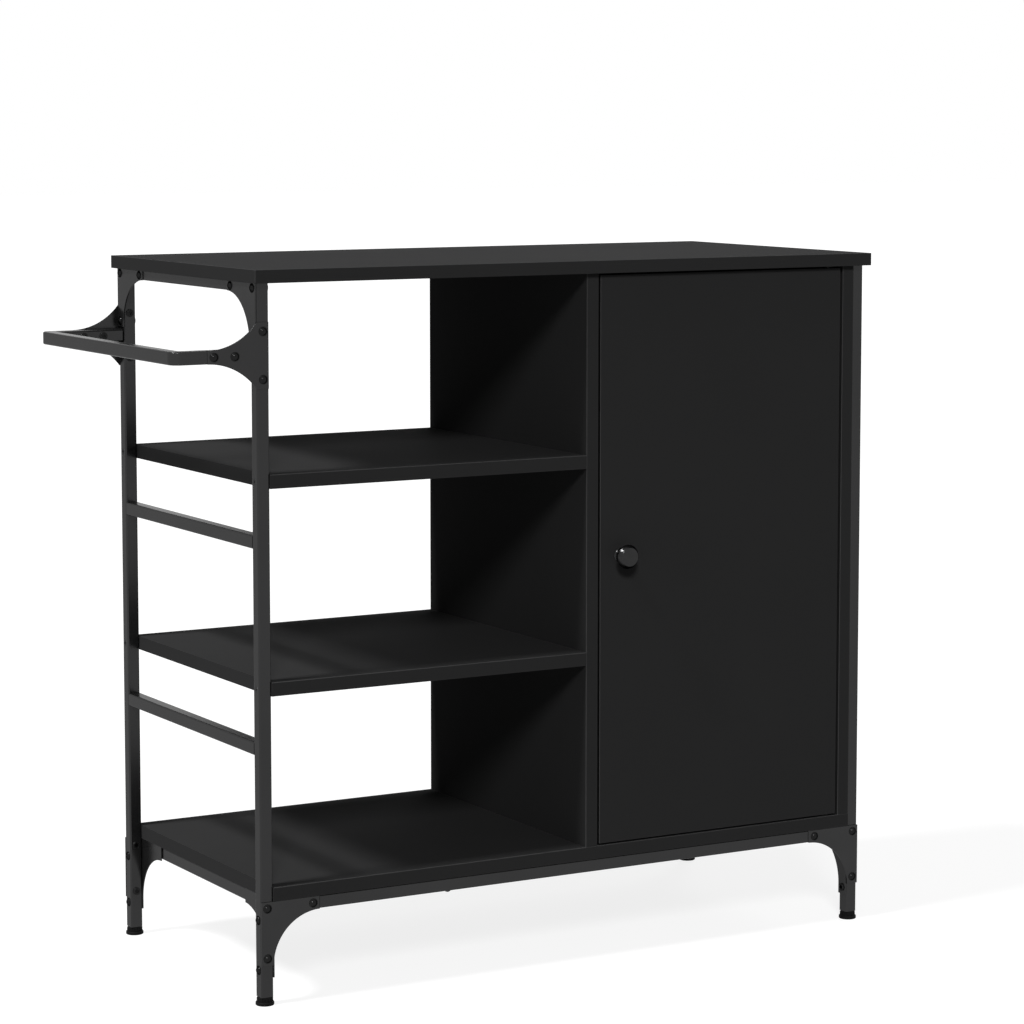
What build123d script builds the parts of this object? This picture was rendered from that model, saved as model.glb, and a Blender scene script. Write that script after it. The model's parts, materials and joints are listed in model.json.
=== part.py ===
from build123d import *
import os

# Kitchen island: a bolted square-tube frame, melamine boards, a cupboard with one door and a bar handle.
# Sizes are in millimetres. Working axes: x runs right from the left posts' outer face, y runs back from the
# posts' front face, z runs up from the floor. Each piece is moved to the shared origin when it is written.

# Frame
frame_width = 814.0
frame_depth = 382.0
tube = 15.0
tube_wall = 1.2
tube_corner = 2.0
plate = 1.5
plate_edge = 0.4
plate_nose_bevel = 1.0
frame_let_in = 3.7
groove_slack = 0.1

# Boards
top_thickness = 15.0
top_height = 825.0
top_side_overhang = 5.5
top_front_overhang = 9.5
top_edge = 0.5
board = 16.0
board_edge = 1.0
board_proud = 2.0
bottom_board_top = 134.5
shelf_pitch = 232.0
divider_left = 421.5
back_panel_thickness = 3.0
back_panel_lap = 2.0

# Left end rails
middle_rail_drop = 68.5

# Gusset plates
gusset_leg = 73.0
bolt_pitch = 57.0
side_gusset_arm = 16.5
side_gusset_drop = 14.0

# Handle
handle_center = 730.5
handle_reach = 101.0
handle_outer_bend = 12.0
handle_inner_bend = 1.5
handle_post_gap = 2.0
bracket_length = 59.0
bracket_post_setback = 0.8
bracket_curve = 74.0
bracket_arc_point = 0.6
bracket_post_bolts = 26.5
bracket_arm_bolts = (26.5, 51.5)

# Dome bolts and flat nuts
crown_point = 0.72
bolt_head_gap = 0.2
bolt_radius = 3.0
bolt_hole = 3.2
dome_radius = 4.4
dome_height = 2.8
dome_rim_radius = 5.3
dome_rim = 0.5
bolt_grip = tube + plate
nut_radius = 4.8
nut_height = 1.2
nut_socket = 2.2
nut_socket_depth = 0.5
nut_round = 0.3

# Wood screws, dowels and nails
fit_slack = 0.06
screw_radius = 2.0
screw_head_radius = 3.6
screw_head_height = 1.8
pan_radius = 3.9
pan_height = 2.8
shelf_screw_bite = 28.0
board_screw_bite = 13.0
top_screw_bite = 10.0
rail_screw_bite = 7.0
panel_screw_inset = 60.0
top_screw_spread = 90.0
stretcher_screw_inset = 110.0
base_screw_lines = (241.0, 573.0)
dowel_radius = 4.0
dowel_length = 24.0
dowel_in_top = 10.0
nail_radius = 0.8
nail_head_radius = 2.0
nail_head_height = 0.6
nail_length = 16.0
nail_inset = 30.0
nail_rows = 5

# Feet
foot_height = 9.5
foot_base_radius = 10.6
foot_base_height = 4.0
foot_base_round = 1.2
foot_base_chamfer = 0.6
foot_collar_radius = 8.6
foot_collar_top = 8.9
foot_rib_count = 18
foot_rib_radius = 0.7
stud_radius = 3.0
stud_length = 18.0
stud_clearance = 0.06
plug_height = 22.0

# Door and its pivots
door_left_gap = 2.5
door_right_gap = 3.5
door_bottom_gap = 2.0
door_top_gap = 2.5
pivot_inset = 14.0
pin_radius = 2.5
pin_depth = 16.0
pin_clearance = 0.06
pin_reach = 9.0
pin_end_gap = 1.0
bush_radius = 5.0
bush_depth = 10.0
bush_flange_radius = 7.0
bush_flange = 1.4

# Knob
knob_from_edge = 27.5
knob_height = 478.5
knob_reach = 23.5
knob_radius = 14.2
knob_neck = 6.0
knob_base = 8.5
knob_base_rim = 1.2
knob_neck_reach = 6.0
knob_throat = 6.9
knob_throat_reach = 12.5
knob_flare = 11.2
knob_flare_reach = 15.5
knob_rim_back = 17.3
knob_rim_front = 18.3
knob_face = 10.8
knob_face_round = 1.0
knob_screw_radius = 2.0
knob_screw_head = 4.0
knob_screw_head_height = 2.4
knob_thread = 12.0

# Catch
catch_width = 36.0
catch_height = 12.0
catch_length = 28.0
catch_gap = 0.6
catch_from_edge = 40.0
catch_corner = 1.5
catch_screw_inset = 7.0
catch_screw_spread = 11.0
magnet_width = 24.0
magnet_height = 6.0
magnet_depth = 12.0
magnet_setback = 0.3
strike_width = 32.0
strike_height = 12.0
strike_thickness = 1.0
strike_corner = 2.0
strike_screw_length = 11.0

# Cupboard inside
stretcher_setback = 28.0
stretcher_depth = 60.0
inner_shelf_setback = 40.0
inner_shelf_side_gap = 1.0
shelf_pin_radius = 2.5
shelf_pin_length = 16.0
shelf_pin_in_board = 9.0
shelf_pin_inset = 45.0

# Heights and planes that follow
top_bottom = top_height - top_thickness
frame_top = top_bottom + frame_let_in
bottom_board_bottom = bottom_board_top - board
base_rail_bottom = bottom_board_bottom - tube
middle_shelf_top = bottom_board_top + shelf_pitch
upper_shelf_top = middle_shelf_top + shelf_pitch
right_inner = frame_width - tube
back_inner = frame_depth - tube
divider_right = divider_left + board
side_panel_left = right_inner - board
front_face = -board_proud
door_left = divider_right + door_left_gap
door_right = side_panel_left - door_right_gap
door_bottom = bottom_board_top + door_bottom_gap
door_top = top_bottom - door_top_gap
door_back = front_face + board
pivot_x = door_right - pivot_inset
pivot_y = front_face + board / 2
knob_x = door_left + knob_from_edge
catch_x = door_left + catch_from_edge
tube_middle = tube / 2
middle_y = frame_depth / 2
half_turn = 0.5 ** 0.5
past = 1.0

# The origin is the middle of the whole object's footprint, on the floor.
lowest_x = -handle_reach
highest_x = frame_width + top_side_overhang
lowest_y = front_face - knob_reach
highest_y = frame_depth + top_front_overhang
origin_shift = Vector(-(lowest_x + highest_x) / 2, -(lowest_y + highest_y) / 2, 0)


def block(x0, x1, y0, y1, z0, z1):
    """A box between two corners."""
    size = Box(x1 - x0, y1 - y0, z1 - z0)
    return Pos((x0 + x1) / 2, (y0 + y1) / 2, (z0 + z1) / 2) * size


def eased(solid, radius=board_edge):
    """A solid with all its edges rounded."""
    return fillet(solid.edges(), radius)


def butted(solid, axis):
    """A board with its edges along one axis rounded and its joined ends left square."""
    return fillet(solid.edges().filter_by(axis), board_edge)


def rod(radius, start, direction, length):
    """A round bar from a point along a direction."""
    bar = Cylinder(radius, length, align=(Align.CENTER, Align.CENTER, Align.MIN))
    return Plane(origin=start, z_dir=direction) * bar


def turned(outline):
    """A solid turned about z from a closed outline of radius and height."""
    return revolve(make_face(Plane.XZ * outline), Axis.Z)


def square_tube(axis, x0, x1, y0, y1, z0, z1):
    """A hollow square tube, open at both ends, with rounded long edges."""
    outer = block(x0, x1, y0, y1, z0, z1)
    outer = fillet(outer.edges().filter_by(axis), tube_corner)
    wall = Vector(tube_wall, tube_wall, tube_wall) - axis.direction * tube_wall
    past = axis.direction
    inner = block(x0 + wall.X - past.X, x1 - wall.X + past.X,
                  y0 + wall.Y - past.Y, y1 - wall.Y + past.Y,
                  z0 + wall.Z - past.Z, z1 - wall.Z + past.Z)
    return outer - inner


def together(solids):
    """Separate solids held as one group."""
    return Compound(children=list(solids))


# Bolts: each has a seat on an outer face, a direction into the tube and its grip.
front_line = tube_middle
back_line = frame_depth - tube_middle
right_line = frame_width - tube_middle

base_bolt_top = bottom_board_bottom - tube_middle
base_bolt_low = base_bolt_top - bolt_pitch
side_bolt_top = base_bolt_top - side_gusset_drop
side_bolt_low = side_bolt_top - bolt_pitch
top_bolt_level = top_bottom - dome_rim_radius - bolt_head_gap
into_back = (0, 1, 0)
into_front = (0, -1, 0)
into_right = (1, 0, 0)
into_left = (-1, 0, 0)

bolts = []
for seat_y, inward in ((-plate, into_back), (frame_depth + plate, into_front)):
    for post_x, along in ((tube_middle, 1), (right_line, -1)):
        bolts.append(((post_x, seat_y, base_bolt_top), inward))
        bolts.append(((post_x, seat_y, base_bolt_low), inward))
        bolts.append(((post_x + along * bolt_pitch, seat_y, base_bolt_top), inward))
    bolts += [((tube_middle, seat_y, handle_center + side * bracket_post_bolts), inward) for side in (1, -1)]
    bolts += [((-reach, seat_y, handle_center), inward) for reach in bracket_arm_bolts]
for post_y, along in ((front_line, 1), (back_line, -1)):
    for seat_x, inward in ((0, into_right), (frame_width, into_left)):
        bolts.append(((seat_x, post_y, side_bolt_top), inward))
        bolts.append(((seat_x, post_y, side_bolt_low), inward))
    bolts.append(((-plate, post_y, top_bolt_level), into_right))
    bolts.append(((-plate, post_y, top_bolt_level - bolt_pitch), into_right))
    bolts.append(((-plate, post_y + along * bolt_pitch, top_bolt_level), into_right))


def crown(radius, height):
    """Half the outline of a domed head, from the top of the dome to the rim of its seat."""
    return ThreePointArc((0, -height), (radius * crown_point, -height * crown_point), (radius, 0))


def dome_bolt():
    """A dome-headed bolt with a thin rim, its head's seat at the origin and its shank along +z."""
    rise = dome_height - dome_rim
    ball = (dome_radius ** 2 + rise ** 2) / (2 * rise)
    half = dome_radius / 2
    half_rise = rise - ball + (ball ** 2 - half ** 2) ** 0.5
    dome = ThreePointArc((0, -dome_height), (half, -dome_rim - half_rise), (dome_radius, -dome_rim))
    end = bolt_grip + nut_height - nut_socket_depth
    rest = Polyline((dome_radius, -dome_rim), (dome_rim_radius, -dome_rim), (dome_rim_radius, 0), (bolt_radius, 0),
                    (bolt_radius, end), (0, end), (0, -dome_height))
    return turned(dome + rest)


def flat_nut():
    """A low round nut with a bore for the bolt and a shallow socket in its face."""
    body = Cylinder(nut_radius, nut_height, align=(Align.CENTER, Align.CENTER, Align.MIN))
    body = fillet(body.edges().group_by(Axis.Z)[-1], nut_round)
    floor = nut_height - nut_socket_depth
    bore = Cylinder(bolt_radius + fit_slack, floor, align=(Align.CENTER, Align.CENTER, Align.MIN))
    hexagon = RegularPolygon(nut_socket, 6)
    socket = Pos(0, 0, floor) * extrude(hexagon, nut_socket_depth)
    return body - bore - socket


bolt_shape = dome_bolt()
nut_shape = flat_nut()
dome_bolts = [Plane(origin=seat, z_dir=inward) * bolt_shape for seat, inward in bolts]
flat_nuts = []
bolt_holes = []
for seat, inward in bolts:
    far = Vector(*seat) + Vector(*inward) * bolt_grip
    flat_nuts.append(Plane(origin=far, z_dir=inward) * nut_shape)
    before = Vector(*seat) - Vector(*inward) * past
    bolt_holes.append(rod(bolt_hole, before, inward, bolt_grip + 2 * past))


def drilled(solid, holes):
    """A solid with every hole that reaches it cut out."""
    box = solid.bounding_box()
    for hole in holes:
        reach = hole.bounding_box()
        apart = (reach.min.X > box.max.X or reach.max.X < box.min.X or reach.min.Y > box.max.Y
                 or reach.max.Y < box.min.Y or reach.min.Z > box.max.Z or reach.max.Z < box.min.Z)
        if not apart:
            solid = solid - hole
    return solid


# Wood fasteners: each place is a seat, a direction and a length. Slack widens a shape to make its hole.
def flush_screw(seat, direction, length, slack=0.0):
    """A screw whose flat head lies level with the seat."""
    head = rod(screw_head_radius + slack, seat, direction, screw_head_height)
    return head + rod(screw_radius + slack, seat, direction, length)


def sunk_screw(seat, direction, length, slack=0.0):
    """A screw whose cone-shaped head is sunk level with the seat."""
    head = screw_head_radius + slack
    shank = screw_radius + slack
    outline = Polyline((0, 0), (head, 0), (shank, head - shank), (shank, length), (0, length), (0, 0))
    return Plane(origin=seat, z_dir=direction) * turned(outline)


def pan_screw(seat, direction, length, slack=0.0):
    """A screw whose rounded head stands on the seat."""
    shank = screw_radius + slack
    rest = Polyline((pan_radius, 0), (shank, 0), (shank, length), (0, length), (0, -pan_height))
    return Plane(origin=seat, z_dir=direction) * turned(crown(pan_radius, pan_height) + rest)


def dowel(seat, direction, length, slack=0.0):
    """A plain wooden peg."""
    return rod(dowel_radius + slack, seat, direction, length)


def nail(seat, direction, length, slack=0.0):
    """A nail whose flat head lies on the seat."""
    head_top = Vector(*seat) - Vector(*direction) * nail_head_height
    head = rod(nail_head_radius, head_top, direction, nail_head_height)
    return head + rod(nail_radius + slack, seat, direction, length)


def shelf_pin(seat, direction, length, slack=0.0):
    """A round pin that carries a loose shelf."""
    return rod(shelf_pin_radius + slack, seat, direction, length)


def fitted(make, places):
    """The fasteners at these places, and the slightly wider shapes that cut their holes."""
    return [make(*place) for place in places], [make(*place, fit_slack) for place in places]


upright = (0, 0, 1)
post_lines = (front_line, back_line)
shelf_tops = (upper_shelf_top, middle_shelf_top)
upright_lefts = (divider_left, side_panel_left)
panel_lines = (panel_screw_inset, frame_depth - panel_screw_inset)
panel_levels = (bottom_board_top + shelf_pitch / 2, upper_shelf_top + shelf_pitch / 2)
top_screw_lines = (middle_y - top_screw_spread, middle_y + top_screw_spread)
stretcher_y = stretcher_setback + stretcher_depth / 2
stretcher_lines = (divider_right + stretcher_screw_inset, side_panel_left - stretcher_screw_inset)
dowel_bottom = top_bottom + dowel_in_top - dowel_length

shelf_places = [((0, line, shelf_top - board / 2), into_right, tube + shelf_screw_bite)
                for shelf_top in shelf_tops for line in post_lines]
side_places = [((frame_width, line, level), into_left, tube + board_screw_bite)
               for level in panel_levels for line in post_lines]
divider_places = [((divider_right, line, shelf_top - board / 2), into_left, board + shelf_screw_bite)
                  for shelf_top in shelf_tops for line in panel_lines]
divider_places += [((left + board / 2, line, bottom_board_bottom), upright, board + shelf_screw_bite)
                   for left in upright_lefts for line in panel_lines]
base_places = [((across, line, base_rail_bottom), upright, tube + board_screw_bite)
               for across in base_screw_lines for line in post_lines]
top_places = [((across, line, frame_top - tube), upright, tube + rail_screw_bite)
              for across in (tube_middle, right_line) for line in top_screw_lines]
top_places += [((across, stretcher_y, top_bottom - board), upright, board + top_screw_bite)
               for across in stretcher_lines]
dowel_places = [((left + board / 2, line, dowel_bottom), upright, dowel_length)
                for left in upright_lefts for line in panel_lines]

back_left = divider_left + back_panel_lap
back_right = right_inner - back_panel_lap
back_low = bottom_board_bottom + back_panel_lap
back_high = top_bottom - back_panel_lap
back_outer = frame_depth + back_panel_thickness
nail_step = (back_high - back_low - 2 * nail_inset) / (nail_rows - 1)
nail_levels = [back_low + nail_inset + row * nail_step for row in range(nail_rows)]
nail_places = [((left + board / 2, back_outer, level), into_front, nail_length)
               for left in upright_lefts for level in nail_levels]
nail_places += [((across, back_outer, bottom_board_bottom + board / 2), into_front, nail_length)
                for across in stretcher_lines]

shelf_screws, shelf_holes = fitted(sunk_screw, shelf_places)
side_screws, side_holes = fitted(sunk_screw, side_places)
divider_screws, divider_holes = fitted(flush_screw, divider_places)
base_screws, base_holes = fitted(pan_screw, base_places)
top_screws, top_holes = fitted(sunk_screw, top_places)
dowels, dowel_holes = fitted(dowel, dowel_places)
nails, nail_holes = fitted(nail, nail_places)
wood_holes = shelf_holes + side_holes + divider_holes + base_holes + top_holes + dowel_holes + nail_holes


# Posts and rails
def post(x0, y0):
    """One upright tube with its bolt and screw holes."""
    tube_shape = square_tube(Axis.Z, x0, x0 + tube, y0, y0 + tube, foot_height, frame_top)
    return drilled(tube_shape, bolt_holes + wood_holes)


def depth_rail(x0, low):
    """A tube that runs front to back between two posts."""
    tube_shape = square_tube(Axis.Y, x0, x0 + tube, tube, back_inner, low, low + tube)
    return drilled(tube_shape, bolt_holes + wood_holes)


def width_rail(y0):
    """A base tube that runs left to right between the side gusset plates."""
    tube_shape = square_tube(Axis.X, tube + plate, right_inner - plate, y0, y0 + tube,
                             base_rail_bottom, bottom_board_bottom)
    return drilled(tube_shape, bolt_holes + wood_holes)


pieces = {
    "front_left_post": post(0, 0),
    "back_left_post": post(0, back_inner),
    "front_right_post": post(right_inner, 0),
    "back_right_post": post(right_inner, back_inner),
    "left_top_rail": depth_rail(0, frame_top - tube),
    "right_top_rail": depth_rail(right_inner, frame_top - tube),
    "left_upper_rail": depth_rail(0, upper_shelf_top - middle_rail_drop - tube),
    "left_lower_rail": depth_rail(0, middle_shelf_top - middle_rail_drop - tube),
    "front_base_rail": width_rail(0),
    "back_base_rail": width_rail(back_inner),
    "left_base_rail": depth_rail(tube + plate, base_rail_bottom),
    "right_base_rail": depth_rail(right_inner - plate - tube, base_rail_bottom),
}


# Gusset plates
def gusset_outline(arm, drop):
    """An L-shaped plate with a quarter-round inner edge: corner at the origin, arms along +x and -y."""
    curve = gusset_leg - tube
    foot = -gusset_leg - drop
    bend = -arm - curve
    corners = [(gusset_leg, -arm), (gusset_leg, 0), (0, 0), (0, foot), (tube, foot)]
    if bend > foot:
        corners.append((tube, bend))
    middle = (gusset_leg - curve * half_turn, bend + curve * half_turn)
    return make_face(Polyline(*corners) + ThreePointArc((tube, bend), middle, (gusset_leg, -arm)))


def gusset(corner, along, outward, arm=tube, drop=0.0):
    """A gusset plate lying on a face: corner point, the way its arm runs and the way it stands out."""
    plane = Plane(origin=corner, x_dir=along, z_dir=Vector(*along).cross(Vector(0, 0, 1)))
    turn = 1 if plane.z_dir.dot(Vector(*outward)) > 0 else -1
    solid = plane * extrude(gusset_outline(arm, drop), turn * plate)
    outside = Axis((0, 0, 0), outward)
    face = solid.faces().sort_by(outside)[-1]
    solid = chamfer(face.edges().sort_by(Axis((0, 0, 0), along))[-1], plate_nose_bevel)
    face = solid.faces().sort_by(outside)[-1]
    solid = fillet(face.edges(), plate_edge)
    return drilled(solid, bolt_holes)


for side, post_x, along in (("left", 0, (1, 0, 0)), ("right", frame_width, (-1, 0, 0))):
    pieces[f"front_{side}_base_gusset"] = gusset((post_x, 0, bottom_board_bottom), along, (0, -1, 0))
    pieces[f"back_{side}_base_gusset"] = gusset((post_x, frame_depth, bottom_board_bottom), along, (0, 1, 0))
for end, post_y, along in (("front", 0, (0, 1, 0)), ("back", frame_depth, (0, -1, 0))):
    pieces[f"left_{end}_side_gusset"] = gusset((tube, post_y, bottom_board_bottom), along, (1, 0, 0),
                                               side_gusset_arm, side_gusset_drop)
    pieces[f"right_{end}_side_gusset"] = gusset((right_inner, post_y, bottom_board_bottom), along, (-1, 0, 0),
                                                side_gusset_arm, side_gusset_drop)
    pieces[f"left_{end}_top_gusset"] = gusset((0, post_y, frame_top), along, (-1, 0, 0))


# Handle
def handle_plan(inset):
    """The U of the handle seen from above, drawn in by a wall thickness."""
    outer_radius = handle_outer_bend - inset
    inner_radius = handle_inner_bend + inset
    end = -handle_post_gap + inset
    outer = block(-handle_reach + inset, end, inset, frame_depth - inset, 0, past)
    outer = fillet(outer.edges().filter_by(Axis.Z).group_by(Axis.X)[0], outer_radius)
    inner = block(-handle_reach + tube - inset, end + past, tube - inset, back_inner + inset, -past, 2 * past)
    inner = fillet(inner.edges().filter_by(Axis.Z).group_by(Axis.X)[0], inner_radius)
    return (outer - inner).faces().sort_by(Axis.Z)[0]


def handle():
    """The bar handle: a square tube bent to a U."""
    low = handle_center - tube / 2
    bar = Pos(0, 0, low) * extrude(handle_plan(0), tube, dir=(0, 0, 1))
    rims = bar.faces().filter_by(Axis.Z).edges()
    rims = rims.filter_by(lambda edge: edge.center().X < -handle_post_gap - fit_slack)
    bar = fillet(rims, tube_corner)
    core_height = tube - 2 * tube_wall
    core = Pos(0, 0, low + tube_wall) * extrude(handle_plan(tube_wall), core_height, dir=(0, 0, 1))
    return drilled(bar - core, bolt_holes)


def handle_bracket(y0, outward):
    """A fish-tail plate: a narrow end on the handle's arm and a wide end on the post."""
    half = tube / 2
    across = bracket_length
    rise = bracket_curve - (bracket_curve ** 2 - across ** 2) ** 0.5
    wide = half + rise
    part_way = across * bracket_arc_point
    part_rise = bracket_curve - (bracket_curve ** 2 - part_way ** 2) ** 0.5
    upper = ThreePointArc((-across, half), (part_way - across, half + part_rise), (0, wide))
    lower = ThreePointArc((0, -wide), (part_way - across, -half - part_rise), (-across, -half))
    inner = tube - bracket_post_setback
    tail = Polyline((0, wide), (inner, wide), (inner, -wide), (0, -wide))
    nose = Line((-across, -half), (-across, half))
    plane = Plane(origin=(0, y0, handle_center), x_dir=(1, 0, 0), z_dir=(0, -1, 0))
    solid = plane * extrude(make_face(upper + tail + lower + nose), -outward * plate)
    outside = Axis((0, 0, 0), (0, outward, 0))
    face = solid.faces().sort_by(outside)[-1]
    solid = chamfer(face.edges().sort_by(Axis.X)[0], plate_nose_bevel)
    face = solid.faces().sort_by(outside)[-1]
    solid = fillet(face.edges(), plate_edge)
    return drilled(solid, bolt_holes)


pieces["handle_bar"] = handle()
pieces["front_handle_bracket"] = handle_bracket(0, -1)
pieces["back_handle_bracket"] = handle_bracket(frame_depth, 1)
pieces["dome_bolts"] = together(dome_bolts)
pieces["flat_nuts"] = together(flat_nuts)

# Door pivots
bush_seats = ((top_bottom, 1), (bottom_board_top, -1))


def bush(level, up):
    """A flanged bush let into a board, with the bore that the pin turns in."""
    body = rod(bush_radius, (pivot_x, pivot_y, level), (0, 0, up), bush_depth)
    flange = rod(bush_flange_radius, (pivot_x, pivot_y, level), (0, 0, -up), bush_flange)
    bore_start = (pivot_x, pivot_y, level - up * (bush_flange + past))
    bore = rod(pin_radius + pin_clearance, bore_start, (0, 0, up), bush_flange + past + pin_reach)
    return body + flange - bore


bush_holes = [rod(bush_radius + fit_slack, (pivot_x, pivot_y, level), (0, 0, up), bush_depth)
              for level, up in bush_seats]
pin_span = pin_reach - pin_end_gap
top_pin = ((pivot_x, pivot_y, door_top - pin_depth), (0, 0, 1), pin_depth + door_top_gap + pin_span)
low_pin = ((pivot_x, pivot_y, door_bottom + pin_depth), (0, 0, -1), pin_depth + door_bottom_gap + pin_span)
pin_places = (top_pin, low_pin)
pivot_pins = [rod(pin_radius, *place) for place in pin_places]
pin_holes = [rod(pin_radius + fit_slack, *place) for place in pin_places]

# Shelf pins
inner_shelf_top = middle_shelf_top
pin_level = inner_shelf_top - board - shelf_pin_radius
shelf_pin_lines = (inner_shelf_setback + shelf_pin_inset, frame_depth - shelf_pin_inset)
shelf_pin_places = [((divider_right - shelf_pin_in_board, line, pin_level), into_right, shelf_pin_length)
                    for line in shelf_pin_lines]
shelf_pin_places += [((side_panel_left + shelf_pin_in_board, line, pin_level), into_left, shelf_pin_length)
                     for line in shelf_pin_lines]
shelf_pins, shelf_pin_holes = fitted(shelf_pin, shelf_pin_places)

# Catch and strike plate
catch_front = door_back + strike_thickness + catch_gap
catch_top = top_bottom - board
catch_level = catch_top - catch_height / 2
catch_screw_y = catch_front + catch_length - catch_screw_inset
catch_bottom = catch_top - catch_height
catch_screw_length = catch_height + top_screw_bite
catch_screw_places = [((catch_x + side * catch_screw_spread, catch_screw_y, catch_bottom), upright,
                       catch_screw_length) for side in (-1, 1)]
catch_screws, catch_screw_holes = fitted(pan_screw, catch_screw_places)
strike_place = ((catch_x, door_back + strike_thickness, catch_level), into_front, strike_screw_length)
strike_screws, strike_holes = fitted(flush_screw, [strike_place])
magnet_back = catch_front + magnet_depth


def magnet_block(front):
    """The space of the magnet, from a front plane to the back of the catch's slot."""
    return block(catch_x - magnet_width / 2, catch_x + magnet_width / 2, front, magnet_back,
                 catch_level - magnet_height / 2, catch_level + magnet_height / 2)


def catch():
    """The body of the magnetic catch, with a slot in its face."""
    body = block(catch_x - catch_width / 2, catch_x + catch_width / 2,
                 catch_front, catch_front + catch_length, catch_bottom, catch_top)
    body = fillet(body.edges().filter_by(Axis.Z), catch_corner)
    return drilled(body - magnet_block(catch_front - catch_gap), catch_screw_holes)


# Boards. The top board has a groove in its underside at each end, which the frame's top is let into.
top_slab = block(-top_side_overhang, frame_width + top_side_overhang, -top_front_overhang,
                 frame_depth + top_front_overhang, top_bottom, top_height)


def top_groove(left, right):
    """The space of a groove in the top board's underside."""
    return block(left - groove_slack, right + groove_slack, -groove_slack, frame_depth + groove_slack,
                 top_bottom - past, frame_top)


top_board = eased(top_slab, top_edge) - top_groove(-plate, tube) - top_groove(right_inner, frame_width)
bottom_slab = block(tube, right_inner, front_face, frame_depth, bottom_board_bottom, bottom_board_top)
bottom_board = butted(bottom_slab, Axis.X)
pieces["top_board"] = drilled(top_board, wood_holes + bush_holes)
pieces["bottom_board"] = drilled(bottom_board, wood_holes + bush_holes)
for name, shelf_top in (("upper_shelf", upper_shelf_top), ("middle_shelf", middle_shelf_top)):
    shelf = butted(block(tube, divider_left, front_face, frame_depth, shelf_top - board, shelf_top), Axis.X)
    pieces[name] = drilled(shelf, wood_holes)
for name, left in (("divider_panel", divider_left), ("right_side_panel", side_panel_left)):
    panel = butted(block(left, left + board, front_face, frame_depth, bottom_board_top, top_bottom), Axis.Z)
    pieces[name] = drilled(panel, wood_holes + shelf_pin_holes)
stretcher = block(divider_right, side_panel_left, stretcher_setback, stretcher_setback + stretcher_depth,
                  top_bottom - board, top_bottom)
pieces["cupboard_stretcher"] = drilled(stretcher, wood_holes + catch_screw_holes)
inner_shelf = block(divider_right + inner_shelf_side_gap, side_panel_left - inner_shelf_side_gap,
                    inner_shelf_setback, frame_depth - inner_shelf_side_gap,
                    inner_shelf_top - board, inner_shelf_top)
pieces["cupboard_shelf"] = eased(inner_shelf)
pieces["shelf_pins"] = together(shelf_pins)
back_panel = block(back_left, back_right, frame_depth, back_outer, back_low, back_high)
pieces["cupboard_back_panel"] = drilled(back_panel, nail_holes)

# Door
door = eased(block(door_left, door_right, front_face, door_back, door_bottom, door_top))
knob_hole = rod(knob_screw_radius + fit_slack, (knob_x, door_back, knob_height), into_front, board)
pieces["door"] = drilled(door, pin_holes + strike_holes + [knob_hole])


def knob():
    """A mushroom knob: flared base, slim neck and a wide head with a bevelled face."""
    base_edge = (knob_base, knob_base_rim)
    throat = (knob_throat, knob_throat_reach)
    rim_back = (knob_radius, knob_rim_back)
    side = Polyline((0, 0), (knob_base, 0), base_edge)
    waist = ThreePointArc(base_edge, (knob_neck, knob_neck_reach), throat)
    flare = ThreePointArc(throat, (knob_flare, knob_flare_reach), rim_back)
    rim = Polyline(rim_back, (knob_radius, knob_rim_front), (knob_face, knob_reach), (0, knob_reach), (0, 0))
    solid = turned(side + waist + flare + rim)
    solid = fillet(solid.edges().group_by(Axis.Z)[-1], knob_face_round)
    thread = rod(knob_screw_radius + fit_slack, (0, 0, 0), upright, knob_thread)
    return Plane(origin=(knob_x, front_face, knob_height), z_dir=into_front) * (solid - thread)


def knob_screw():
    """The screw that holds the knob from inside the door."""
    head_seat = (knob_x, door_back, knob_height)
    head = rod(knob_screw_head, head_seat, into_back, knob_screw_head_height)
    head = fillet(head.edges().sort_by(Axis.Y)[-1], knob_screw_head_height / 2)
    return head + rod(knob_screw_radius, head_seat, into_front, board + knob_thread)


pieces["door_knob"] = knob()
pieces["knob_screw"] = knob_screw()
pieces["door_pivot_pins"] = together(pivot_pins)
pieces["pivot_bushes"] = together([bush(level, up) for level, up in bush_seats])
pieces["magnetic_catch"] = catch()
pieces["catch_magnet"] = magnet_block(catch_front + magnet_setback)
pieces["catch_screws"] = together(catch_screws)
strike = block(catch_x - strike_width / 2, catch_x + strike_width / 2,
               door_back, door_back + strike_thickness,
               catch_level - strike_height / 2, catch_level + strike_height / 2)
strike = fillet(strike.edges().filter_by(Axis.Y), strike_corner)
pieces["strike_plate"] = drilled(strike, strike_holes)
pieces["strike_screw"] = strike_screws[0]

# Screws, dowels and nails
pieces["shelf_screws"] = together(shelf_screws)
pieces["side_panel_screws"] = together(side_screws)
pieces["divider_screws"] = together(divider_screws)
pieces["base_screws"] = together(base_screws)
pieces["top_screws"] = together(top_screws)
pieces["dowels"] = together(dowels)
pieces["back_panel_nails"] = together(nails)


# Feet
def foot():
    """A levelling foot: a round base, a ribbed collar and a stud that turns in the post's plug."""
    base = Cylinder(foot_base_radius, foot_base_height, align=(Align.CENTER, Align.CENTER, Align.MIN))
    base = fillet(base.edges().group_by(Axis.Z)[-1], foot_base_round)
    base = chamfer(base.edges().group_by(Axis.Z)[0], foot_base_chamfer)
    collar_height = foot_collar_top - foot_base_height
    collar = rod(foot_collar_radius, (0, 0, foot_base_height), (0, 0, 1), collar_height)
    rib = rod(foot_rib_radius, (foot_collar_radius, 0, foot_base_height), (0, 0, 1), collar_height)
    ribs = [Rot(0, 0, step * 360 / foot_rib_count) * rib for step in range(foot_rib_count)]
    stud = rod(stud_radius, (0, 0, foot_collar_top), (0, 0, 1), stud_length + foot_height - foot_collar_top)
    return base + collar + ribs + stud


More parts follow.
